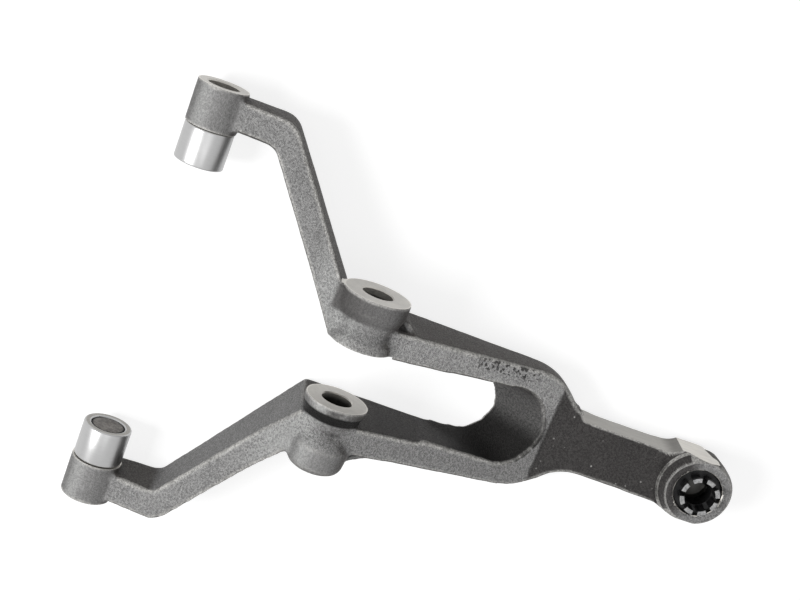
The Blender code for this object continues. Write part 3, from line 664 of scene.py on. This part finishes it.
class CLUTCHFORK_OT_clip(bpy.types.Operator):
    """Build the snap-in clip with its eight fingers"""

    bl_idname = "clutchfork.clip"
    bl_label = "Snap clip"

    fingers: IntProperty(name="Fingers", description="Number of snap fingers", default=8, min=2)

    def execute(self, context):
        sizes = context.scene.fork_sizes
        place = Matrix.Translation((0, SOCKET_Y, 0))
        ledge = END_FACE_Z - sizes.socket_ledge + sizes.play
        ring = sizes.socket_mouth - sizes.play
        sleeve = sizes.socket_bore - sizes.play
        bm = turned_bmesh([
            (RING_HOLE, ledge + RING_THICKNESS), (ring, ledge + RING_THICKNESS), (ring, ledge),
            (sleeve, ledge), (sleeve, CLIP_LOW.z), (SLEEVE_HOLE, CLIP_LOW.z),
        ], place, 96, True)
        bevel_rims(bm, sizes.finger_edge, 2)
        pitch = math.tau / self.fingers
        sweep = pitch - sizes.finger_slot / FINGER_MIDDLE
        finger = bmesh.new()
        profile = [(FINGER_ROOT[0], ledge)]
        profile += [(radius, CLIP_HIGH.z - drop) for radius, drop in FINGER_TIP]
        profile += [(FINGER_ROOT[1], ledge)]
        face = finger.faces.new([finger.verts.new((radius, 0, height))
                                 for radius, height in profile])
        about = {"cent": (0, 0, 0), "axis": (0, 0, 1), "dvec": (0, 0, 0), "use_merge": False}
        bmesh.ops.spin(finger, geom=[face, *face.edges, *face.verts], angle=sweep, steps=8,
                       use_duplicate=False, **about)
        bmesh.ops.recalc_face_normals(finger, faces=finger.faces[:])
        bevel_rims(finger, sizes.finger_edge, 2)
        bmesh.ops.spin(finger, geom=finger.verts[:] + finger.edges[:] + finger.faces[:],
                       angle=pitch * (self.fingers - 1), steps=self.fingers - 1,
                       use_duplicate=True, **about)
        turn = Matrix.Rotation(sizes.finger_turn - sweep / 2, 4, "Z")
        bmesh.ops.transform(finger, matrix=place @ turn, verts=finger.verts[:])
        join_into(bm, finger)
        clip = new_object("rod_clip_skin", bm, [clip_plastic()])
        smooth_by_angle(clip)
        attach(clip, "fork")
        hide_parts("rod_clip")
        return {"FINISHED"}


# Materials

class Tree:
    """Short calls for building a shader node tree."""

    def __init__(self, tree):
        self.tree = tree

    def node(self, kind, inputs=None, **settings):
        """A new node with its settings, its inputs set by value or linked from a socket."""
        made = self.tree.nodes.new(kind)
        for key, value in settings.items():
            setattr(made, key, value)
        for key, value in (inputs or {}).items():
            self.put(made.inputs[key], value)
        return made

    def put(self, socket, value):
        """Link a socket to an output, or set its value."""
        if isinstance(value, bpy.types.NodeSocket):
            self.tree.links.new(value, socket)
        else:
            socket.default_value = value

    def math(self, operation, first, second=0.0, third=0.0):
        """One Math node's output."""
        made = self.node("ShaderNodeMath", {0: first, 1: second, 2: third}, operation=operation)
        return made.outputs[0]

    def linear(self, value, slope, start):
        """A value times a slope, plus a start."""
        return self.math("MULTIPLY_ADD", value, slope, start)

    def highest(self, *masks):
        """The highest of several masks."""
        total = masks[0]
        for mask in masks[1:]:
            total = self.math("MAXIMUM", total, mask)
        return total

    def both(self, *masks):
        """The product of several masks."""
        total = masks[0]
        for mask in masks[1:]:
            total = self.math("MULTIPLY", total, mask)
        return total

    def step(self, value, low, high):
        """A smooth step of a value from 0 at low to 1 at high."""
        made = self.node("ShaderNodeMapRange", {"Value": value, "From Min": low, "From Max": high},
                         interpolation_type="SMOOTHSTEP")
        return made.outputs[0]

    def band(self, value, middle, half):
        """A mask that is 1 where a value is near a middle and 0 beyond half a width from it."""
        off = self.math("ABSOLUTE", self.math("SUBTRACT", value, middle))
        return self.math("SUBTRACT", 1.0, self.step(off, half * 0.6, half))

    def distance(self, first, first_middle, second, second_middle):
        """The distance in a plane from a middle."""
        across = self.math("SUBTRACT", first, first_middle)
        along = self.math("SUBTRACT", second, second_middle)
        square = self.math("MULTIPLY_ADD", across, across, self.math("MULTIPLY", along, along))
        return self.math("SQRT", square)

    def xyz(self, vector):
        """The three parts of a vector."""
        return self.node("ShaderNodeSeparateXYZ", {0: vector}).outputs

    def mapped(self, vector, **settings):
        """A vector moved by a Location or stretched by a Scale."""
        return self.node("ShaderNodeMapping", {"Vector": vector, **settings}).outputs[0]

    def noise(self, vector, scale, detail, roughness=0.5):
        """A noise texture's value."""
        made = self.node("ShaderNodeTexNoise", {"Vector": vector, "Scale": scale,
                                                "Detail": detail, "Roughness": roughness})
        return made.outputs[0]

    def effect(self, made_group, vector, scale):
        """The outputs of a shared node group placed in this tree."""
        return self.node("ShaderNodeGroup", {"Vector": vector, "Scale": scale},
                         node_tree=made_group).outputs

    def bump(self, height, strength, distance):
        """A normal bent by a height."""
        return self.node("ShaderNodeBump", {"Strength": strength, "Distance": distance,
                                            "Height": height}).outputs[0]

    def mix(self, factor, first, second):
        """One colour Mix node's output."""
        made = self.node("ShaderNodeMix", data_type="RGBA")
        self.put(made.inputs["Factor"], factor)
        self.put(made.inputs[6], first)
        self.put(made.inputs[7], second)
        return made.outputs[2]

    def tint(self, base, mask, strength, colour_over):
        """A base colour with another over it, by a mask and a strength."""
        return self.mix(self.math("MULTIPLY", mask, strength), base, colour_over)

    def scaled(self, base, tone):
        """A colour made lighter or darker by a tone."""
        made = self.node("ShaderNodeVectorMath", operation="SCALE")
        self.put(made.inputs[0], base if isinstance(base, bpy.types.NodeSocket) else base[:3])
        self.put(made.inputs["Scale"], tone)
        return made.outputs[0]


def group(name, outputs, build):
    """A shader node group that reads a vector and a scale, made once."""
    found = bpy.data.node_groups.get(name)
    if found:
        return found
    made = bpy.data.node_groups.new(name, "ShaderNodeTree")
    made.interface.new_socket(name="Vector", in_out="INPUT", socket_type="NodeSocketVector")
    made.interface.new_socket(name="Scale", in_out="INPUT", socket_type="NodeSocketFloat")
    for label in outputs:
        made.interface.new_socket(name=label, in_out="OUTPUT", socket_type="NodeSocketFloat")
    source = made.nodes.new("NodeGroupInput").outputs
    target = made.nodes.new("NodeGroupOutput").inputs
    for label, socket in build(Tree(made), source["Vector"], source["Scale"]).items():
        made.links.new(socket, target[label])
    return made


def blast_grain():
    """Shot-blast grain: a height for bumps, and a tone round 0.5 for the colour."""
    def build(tree, vector, scale):
        fine = tree.noise(vector, scale, 3.0, 0.6)
        coarse = tree.noise(vector, tree.math("MULTIPLY", scale, 0.45), 2.0)
        dents = tree.node("ShaderNodeTexVoronoi", {"Vector": vector, "Scale": scale},
                          feature="SMOOTH_F1").outputs["Distance"]
        total = tree.linear(fine, 0.55, tree.math("MULTIPLY", coarse, 0.45))
        return {"Height": tree.linear(dents, 0.35, total), "Tone": tree.step(total, 0.38, 0.62)}
    return group("blast grain", ("Height", "Tone"), build)


def tool_marks():
    """Marks of a turning tool: rings round the X axis of a centred vector, and smudges."""
    def build(tree, vector, scale):
        rings = tree.node("ShaderNodeTexWave", {"Vector": vector, "Scale": scale, "Distortion": 0.6,
                                                "Detail": 1.0, "Detail Scale": 0.4},
                          wave_type="RINGS", rings_direction="X",
                          wave_profile="SIN").outputs["Fac"]
        smudge = tree.math("MULTIPLY", tree.noise(vector, 220.0, 3.0, 0.6), 0.75)
        return {"Height": rings, "Tone": tree.linear(rings, 0.25, smudge)}
    return group("tool marks", ("Height", "Tone"), build)


def new_material(name, metallic, specular=0.5):
    """A material with its tree, its shader's inputs and its texture coordinates."""
    material = bpy.data.materials.new(name)
    material.use_nodes = True
    shader = material.node_tree.nodes["Principled BSDF"].inputs
    shader["Metallic"].default_value = metallic
    shader["Specular IOR Level"].default_value = specular
    tree = Tree(material.node_tree)
    return material, tree, shader, tree.node("ShaderNodeTexCoord").outputs


def paint(name, scale=1.0):
    """One of the fork's colours as a node colour, made lighter or darker by a scale."""
    red, green, blue = getattr(bpy.context.scene.fork_colours, name)
    return (red * scale, green * scale, blue * scale, 1.0)


class SkinPlaces:
    """What the masks of the forging's skin read: position, normal and distances."""

    def __init__(self, tree, place):
        self.x, self.y, self.z = tree.xyz(place["Object"])
        self.normal_x, self.normal_y, self.normal_z = tree.xyz(place["Normal"])
        self.front = tree.step(self.normal_z, 0.45, 0.86)
        self.patches = tree.noise(place["Object"], 60.0, 4.0, 0.6)
        self.from_socket = tree.distance(self.x, 0.0, self.y, SOCKET_Y)
        self.from_shaft = tree.distance(self.y, SHAFT.y, self.z, SHAFT.z)
        self.from_pin = tree.distance(self.y, PIN_CENTRE.y, self.z, PIN_CENTRE.z)


def forged_tones(tree, on):
    """Blasted fronts, lighter on the upper arm; painted light on faces turned to -Y, and painted
    shade on the brown sides turned away from -Y.
    """
    # Faces turned to -Y get painted light, and sides turned away from -Y get painted shade.
    to_rollers = tree.step(tree.math("MULTIPLY", on.normal_y, -1.0), 0.05, 0.6)
    side = tree.mix(to_rollers, paint("shaded_flank"), paint("blasted", 0.7))
    upper = tree.both(tree.step(on.x, *UPPER_ARM_X), tree.step(on.y, *UPPER_ARM_Y))
    blasted = tree.mix(upper, paint("blasted"), paint("blasted", 1.35))
    return tree.mix(on.front, side, tree.mix(to_rollers, blasted, paint("lit_splay")))


def lever_tones(tree, on, place, base):
    """The dark lever with its bright specks painted as glints, painted shade on the end face before
    the socket, and painted highlight arcs round the raised end.
    """
    beyond_bend = tree.step(on.y, *BEND_Y)
    lever = tree.both(beyond_bend, tree.step(on.normal_z, 0.2, 0.5),
                      tree.step(on.from_socket, *END_FACE_RIM))
    base = tree.tint(base, lever, 1.0, paint("lever"))
    before_socket = tree.step(tree.math("SUBTRACT", SOCKET_Y, on.y), *BEFORE_SOCKET)
    # Painted shade on the end face before the socket.
    shade = tree.both(before_socket, tree.step(on.from_socket, *END_FACE_SHADE), beyond_bend)
    base = tree.tint(base, shade, 0.95, paint("lever", 1.3))
    # Painted highlight arcs round the raised end.
    inner_arc = tree.band(on.from_socket, *INNER_ARC)
    painted_highlight = tree.highest(tree.math("MULTIPLY", inner_arc, 0.35),
                          tree.band(on.from_socket, *OUTER_ARC))
    painted_highlight = tree.both(painted_highlight, before_socket, tree.step(on.normal_z, 0.1, 0.4), beyond_bend)
    base = tree.tint(base, painted_highlight, 0.8, paint("painted_highlight"))
    # Bright specks on the lever, painted glints.
    dots = tree.node("ShaderNodeTexVoronoi", {"Vector": place["Object"], "Scale": 300.0})
    speck = tree.both(tree.step(dots.outputs["Distance"], 0.17, 0.08),
                      tree.step(on.patches, 0.48, 0.56))
    return tree.tint(base, tree.both(speck, lever), 0.7, paint("painted_highlight"))


def boss_tones(tree, on, base):
    """The bosses' walls: painted shade on the left boss's wall, deeper towards -Y, smudges on the
    flange wall, and a mask of the walls that are smoother than the arms.
    """
    boss_wall = tree.both(tree.step(on.from_shaft, *BOSS_WALL), tree.step(on.x, *BOSS_WALL_X))
    flange_wall = tree.both(tree.step(on.from_shaft, *FLANGE_WALL),
                            tree.band(on.x, *FLANGE_WALL_X))
    rough_boss = tree.both(tree.step(on.from_shaft, *ROUGH_BOSS), tree.step(on.x, *ROUGH_BOSS_X))
    end_boss = tree.step(on.from_pin, *END_BOSS)
    # Painted shade on the left boss's wall, deeper towards -Y.
    base = tree.tint(base, boss_wall, 0.35, paint("lever", 1.2))
    shade = tree.both(boss_wall, tree.step(on.y, *BOSS_SHADE_Y))
    base = tree.tint(base, shade, 0.8, paint("lever", 1.2))
    smudged = tree.both(flange_wall, tree.step(on.patches, 0.56, 0.44))
    base = tree.tint(base, smudged, 0.75, paint("lever"))
    return base, tree.highest(boss_wall, flange_wall, rough_boss, end_boss)


def window_tones(tree, on, base):
    """Painted shade on the walls inside the window, darkest deep in it, and painted shade in the
    gap beside the right flange.
    """
    inside = tree.both(tree.step(tree.math("ABSOLUTE", on.x), *WINDOW_X),
                       tree.step(on.y, *WINDOW_START_Y), tree.step(on.y, *WINDOW_END_Y),
                       tree.step(on.normal_y, 0.22, 0.08))
    deep = tree.both(inside, tree.step(on.x, *WINDOW_DEEP_X), tree.step(on.y, *WINDOW_DEEP_Y))
    # Painted shade on the window's walls, darker deep inside.
    base = tree.tint(base, inside, 0.8, paint("lever", 0.9))
    base = tree.tint(base, deep, 0.95, paint("shade_and_scale", 0.5))
    # Painted shade in the gap beside the right flange.
    gap = tree.both(tree.step(on.from_shaft, *FLANGE_GAP), tree.band(on.x, *FLANGE_GAP_X))
    return tree.tint(base, gap, 1.0, paint("shade_and_scale", 0.3))


def ridge_tones(tree, on, base):
    """Painted highlights on ridges, painted shade on their +X side of an arm, and painted shade in
    creases.
    """
    ridge = tree.node("ShaderNodeAttribute", attribute_name="ridge",
                      attribute_type="GEOMETRY").outputs["Fac"]
    edge = tree.both(tree.step(ridge, 0.025, 0.085), tree.step(on.from_socket, *NO_RIDGE))
    lower = tree.both(edge, tree.step(on.normal_x, 0.2, 0.6), tree.step(on.y, *LOWER_EDGE_Y))
    # Painted highlight on ridges.
    base = tree.tint(base, edge, 0.75, paint("painted_highlight"))
    # Painted shade on the ridges' +X side.
    base = tree.tint(base, lower, 0.9, paint("shaded_flank", 0.6))
    # Painted shade in creases.
    return tree.tint(base, tree.step(ridge, -0.02, -0.085), 0.9, paint("shade_and_scale"))


def turned_marks(tree, place, centre, pitch):
    """Tool marks of a pitch round an X line through a centre, and the distance from that line."""
    centred = tree.mapped(place["Object"], Location=(0.0, -centre.y, -centre.z))
    _, y, z = tree.xyz(place["Object"])
    return (tree.effect(tool_marks(), centred, math.tau / 20 / pitch),
            tree.distance(y, centre.y, z, centre.z))


def blasted_steel():
    """Forged skin: blasted fronts, brown flanks with painted shade, a dark lever, painted
    highlights on ridges and painted shade in creases.
    """
    material, tree, shader, place = new_material("blasted steel", 0.2, 0.2)
    on = SkinPlaces(tree, place)
    grain = tree.effect(blast_grain(), place["Object"], 2300.0)
    base = forged_tones(tree, on)
    base = lever_tones(tree, on, place, base)
    base, smooth = boss_tones(tree, on, base)
    base = window_tones(tree, on, base)
    base = ridge_tones(tree, on, base)
    pits = tree.both(tree.band(on.x, *PITTED_X), tree.band(on.y, *PITTED_Y), on.front,
                     tree.step(tree.noise(place["Object"], 620.0, 2.0), 0.52, 0.59))
    base = tree.tint(base, pits, 0.85, paint("shade_and_scale"))

    brightness = tree.linear(on.patches, 0.4, tree.linear(smooth, -0.16, 0.89))
    contrast = tree.linear(smooth, -0.4, 0.8)
    tone = tree.linear(tree.math("SUBTRACT", grain["Tone"], 0.5), contrast, brightness)
    relief = tree.math("MULTIPLY", grain["Height"], tree.linear(smooth, -0.6, 1.0))
    tree.put(shader["Base Color"], tree.scaled(base, tone))
    tree.put(shader["Roughness"], tree.linear(grain["Tone"], -0.1, 0.6))
    tree.put(shader["Normal"], tree.bump(tree.linear(pits, -0.6, relief), 1.0, 0.0009))
    return material


def faced_steel(name, centre, pitch, rim, brightness=1.0):
    """A turned face with rings round its middle and a painted highlight along its rim."""
    material, tree, shader, place = new_material(name, 0.75)
    marks, from_centre = turned_marks(tree, place, centre, pitch)
    # Painted highlight along the rim.
    edge = tree.step(from_centre, rim - 0.0010, rim - 0.0004)
    tone = tree.linear(edge, 0.35, tree.linear(marks["Tone"], 0.6, 0.55))
    tree.put(shader["Base Color"], tree.scaled(paint("faced", brightness), tone))
    tree.put(shader["Roughness"], tree.linear(marks["Tone"], 0.2, 0.28))
    tree.put(shader["Normal"], tree.bump(marks["Height"], 0.35, 0.00003))
    return material


def milled_steel(sizes):
    """The milled flat, its hollow darkened with painted shade and the bright pad, with straight
    tool marks.
    """
    material, tree, shader, place = new_material("milled steel", 0.75)
    streaks = tree.noise(tree.mapped(place["Object"], Scale=(1.0, 0.06, 1.0)), 1400.0, 2.0, 0.6)
    smudge = tree.noise(place["Object"], 160.0, 3.0)
    y = tree.xyz(place["Object"])["Y"]
    pad_y = SOCKET_Y - sizes.pad_start
    on_pad = tree.math("GREATER_THAN", y, pad_y)
    # Painted shade in the hollow.
    hollow = tree.both(tree.step(y, pad_y - 0.0085, pad_y - 0.0020),
                       tree.math("LESS_THAN", y, pad_y))
    level = tree.linear(on_pad, 0.5, tree.linear(hollow, -0.3, 0.6))
    marks = tree.linear(streaks, 0.45, tree.linear(smudge, 0.35, 0.6))
    tone = tree.math("MULTIPLY", marks, level)
    tree.put(shader["Base Color"], tree.scaled(paint("faced"), tone))
    tree.put(shader["Roughness"], tree.linear(smudge, 0.3, 0.3))
    tree.put(shader["Normal"], tree.bump(streaks, 0.3, 0.00003))
    return material


def bored_steel(name, brightness):
    """The walls of the bores or of the socket, lighter towards the mouths that let light in."""
    material, tree, shader, place = new_material(name, 0.4, 0.2)
    smudge = tree.noise(place["Object"], 500.0, 3.0)
    x = tree.xyz(place["Object"])["X"]
    flange_x = mounts["inner_face_right"].x
    flange_mouth = tree.both(tree.step(x, flange_x + 0.0035, flange_x),
                             tree.math("GREATER_THAN", x, 0.0))
    boss_mouth = tree.band(x, mounts["outer_face_left"].x, 0.0040)
    end_mouth = tree.band(tree.math("ABSOLUTE", x), cad_high.x, 0.0045)
    reach = tree.linear(tree.highest(flange_mouth, boss_mouth, end_mouth), 3.0, 0.35)
    tone = tree.math("MULTIPLY", reach, tree.linear(smudge, 0.5, 0.55))
    tree.put(shader["Base Color"], tree.scaled(paint("faced", brightness), tone))
    tree.put(shader["Roughness"], tree.linear(smudge, 0.2, 0.25))
    return material


def roller_steel():
    """Ground and polished steel with faint scratches round the roller."""
    material, tree, shader, place = new_material("roller steel", 1.0)
    scratches = tree.noise(tree.mapped(place["Object"], Scale=(1.0, 0.04, 0.04)), 4000.0, 2.0, 0.7)
    smudge = tree.noise(place["Object"], 140.0, 3.0)
    tone = tree.linear(scratches, 0.2, 0.88)
    tree.put(shader["Base Color"], tree.scaled(paint("roller"), tone))
    tree.put(shader["Roughness"], tree.linear(smudge, 0.16, 0.26))
    tree.put(shader["Normal"], tree.bump(scratches, 0.12, 0.00002))
    return material


def pin_steel(centre, radius):
    """Turned pin ends, duller and browner than the rollers, with painted shade round the rim."""
    material, tree, shader, place = new_material("pin steel", 0.7)
    marks, from_centre = turned_marks(tree, place, centre, 0.0005)
    grain = tree.effect(blast_grain(), place["Object"], 900.0)
    # Painted shade round the pin's rim.
    rim_shade = tree.step(from_centre, radius - 0.0008, radius - 0.0004)
    base = tree.mix(rim_shade, paint("pin"), paint("shade_and_scale", 0.4))
    tree.put(shader["Base Color"], tree.scaled(base, tree.linear(grain["Tone"], 0.7, 0.65)))
    tree.put(shader["Roughness"], tree.linear(marks["Tone"], 0.25, 0.35))
    tree.put(shader["Normal"], tree.bump(marks["Height"], 0.5, 0.00005))
    return material


def clip_plastic():
    """Moulded black plastic with a satin face and painted sheen on the finger tips."""
    material, tree, shader, place = new_material("clip plastic", 0.0, 0.3)
    grain = tree.effect(blast_grain(), place["Object"], 1600.0)
    facing_out = tree.step(tree.xyz(place["Normal"])["Z"], 0.8, 0.98)
    at_tip = tree.step(tree.xyz(place["Object"])["Z"], CLIP_HIGH.z - 0.0008, CLIP_HIGH.z - 0.0003)
    # Painted sheen on the finger tips that face out.
    tip_sheen = tree.both(facing_out, at_tip)
    base = tree.mix(tip_sheen, paint("clip", 0.5), paint("fingertip_sheen"))
    tree.put(shader["Base Color"], tree.scaled(base, tree.linear(grain["Tone"], 0.6, 0.7)))
    tree.put(shader["Roughness"], tree.linear(grain["Tone"], 0.2, 0.38))
    tree.put(shader["Normal"], tree.bump(grain["Height"], 0.3, 0.00006))
    return material


# Studio

def seen_rays(tree):
    """A mask of the rays that show a surface to the camera, in a reflection or through glass."""
    light = tree.node("ShaderNodeLightPath").outputs
    return tree.highest(light["Is Camera Ray"], light["Is Glossy Ray"],
                        light["Is Transmission Ray"])


def floor_material():
    """A pale floor that looks white to the camera and to metal, and keeps the shadow."""
    material, tree, shader, _ = new_material("studio floor", 0.0, 0.1)
    shader["Base Color"].default_value = paint("floor")
    shader["Roughness"].default_value = 0.9
    shader["Emission Color"].default_value = (1, 1, 1, 1)
    tree.put(shader["Emission Strength"], tree.math("MULTIPLY", seen_rays(tree), 0.8))
    return material


def area_light(name, place, size, power):
    """A soft square lamp that points at the middle of the scene."""
    data = bpy.data.lights.new(name, "AREA")
    data.shape = "SQUARE"
    data.size = size
    data.energy = power
    lamp = bpy.data.objects.new(name, data)
    lamp.location = place
    lamp.rotation_euler = (-Vector(place)).to_track_quat("-Z", "Y").to_euler()
    bpy.context.scene.collection.objects.link(lamp)


class CLUTCHFORK_OT_studio(bpy.types.Operator):
    """Build the floor, the lights, the background and the camera"""

    bl_idname = "clutchfork.studio"
    bl_label = "Studio"

    def execute(self, context):
        bm = bmesh.new()
        bmesh.ops.create_grid(bm, x_segments=1, y_segments=1, size=FLOOR_HALF,
                              matrix=Matrix.Translation((0, 0, cad_low.z - FLOOR_GAP)))
        floor = new_object("floor", bm, [floor_material()])

        world = bpy.data.worlds.new("studio")
        context.scene.world = world
        world.use_nodes = True
        tree = Tree(world.node_tree)
        background = world.node_tree.nodes["Background"].inputs
        background["Color"].default_value = (1, 1, 1, 1)
        tree.put(background["Strength"], tree.linear(seen_rays(tree), 1.0 - FILL, FILL))

        for lamp in LAMPS:
            area_light(*lamp)

        data = bpy.data.cameras.new("camera")
        data.lens = 63.87
        data.sensor_width = 36.0
        data.clip_start = 0.01
        data.clip_end = 20.0
        camera = bpy.data.objects.new("camera", data)
        right = Vector(CAMERA_RIGHT)
        back = right.cross(Vector(CAMERA_UP)).normalized()
        up = back.cross(right.normalized())
        turned = Matrix((right, up, back)).transposed().to_4x4()
        camera.matrix_world = Matrix.Translation(CAMERA_PLACE) @ turned
        context.scene.collection.objects.link(camera)
        context.scene.camera = camera
        context.scene.view_settings.view_transform = "Standard"
        return {"FINISHED"}


class CLUTCHFORK_PT_panel(bpy.types.Panel):
    """Lists the operators and the sizes and colours they use"""

    bl_label = "Clutch Fork"
    bl_idname = "CLUTCHFORK_PT_panel"
    bl_space_type = "VIEW_3D"
    bl_region_type = "UI"
    bl_category = "Clutch Fork"

    def draw(self, context):
        layout = self.layout
        for operator in OPERATORS:
            layout.operator(operator.bl_idname)
        for group_name in ("fork_sizes", "fork_colours"):
            values = getattr(context.scene, group_name)
            box = layout.box()
            for key in values.__annotations__:
                box.prop(values, key)


OPERATORS = (CLUTCHFORK_OT_forging, CLUTCHFORK_OT_rollers, CLUTCHFORK_OT_pins, CLUTCHFORK_OT_clip,
             CLUTCHFORK_OT_studio)
CLASSES = (ForkSizes, ForkColours, *OPERATORS, CLUTCHFORK_PT_panel)


def register():
    """Register the classes and put their settings on the scene."""
    for item in CLASSES:
        bpy.utils.register_class(item)
    bpy.types.Scene.fork_sizes = PointerProperty(type=ForkSizes)
    bpy.types.Scene.fork_colours = PointerProperty(type=ForkColours)


def unregister():
    """Take the settings and the classes away again."""
    del bpy.types.Scene.fork_colours
    del bpy.types.Scene.fork_sizes
    for item in reversed(CLASSES):
        bpy.utils.unregister_class(item)


def main():
    """Build everything in order."""
    register()
    bpy.ops.clutchfork.forging()
    bpy.ops.clutchfork.rollers()
    bpy.ops.clutchfork.pins()
    bpy.ops.clutchfork.clip()
    bpy.ops.clutchfork.studio()


if __name__ == "__main__":
    main()
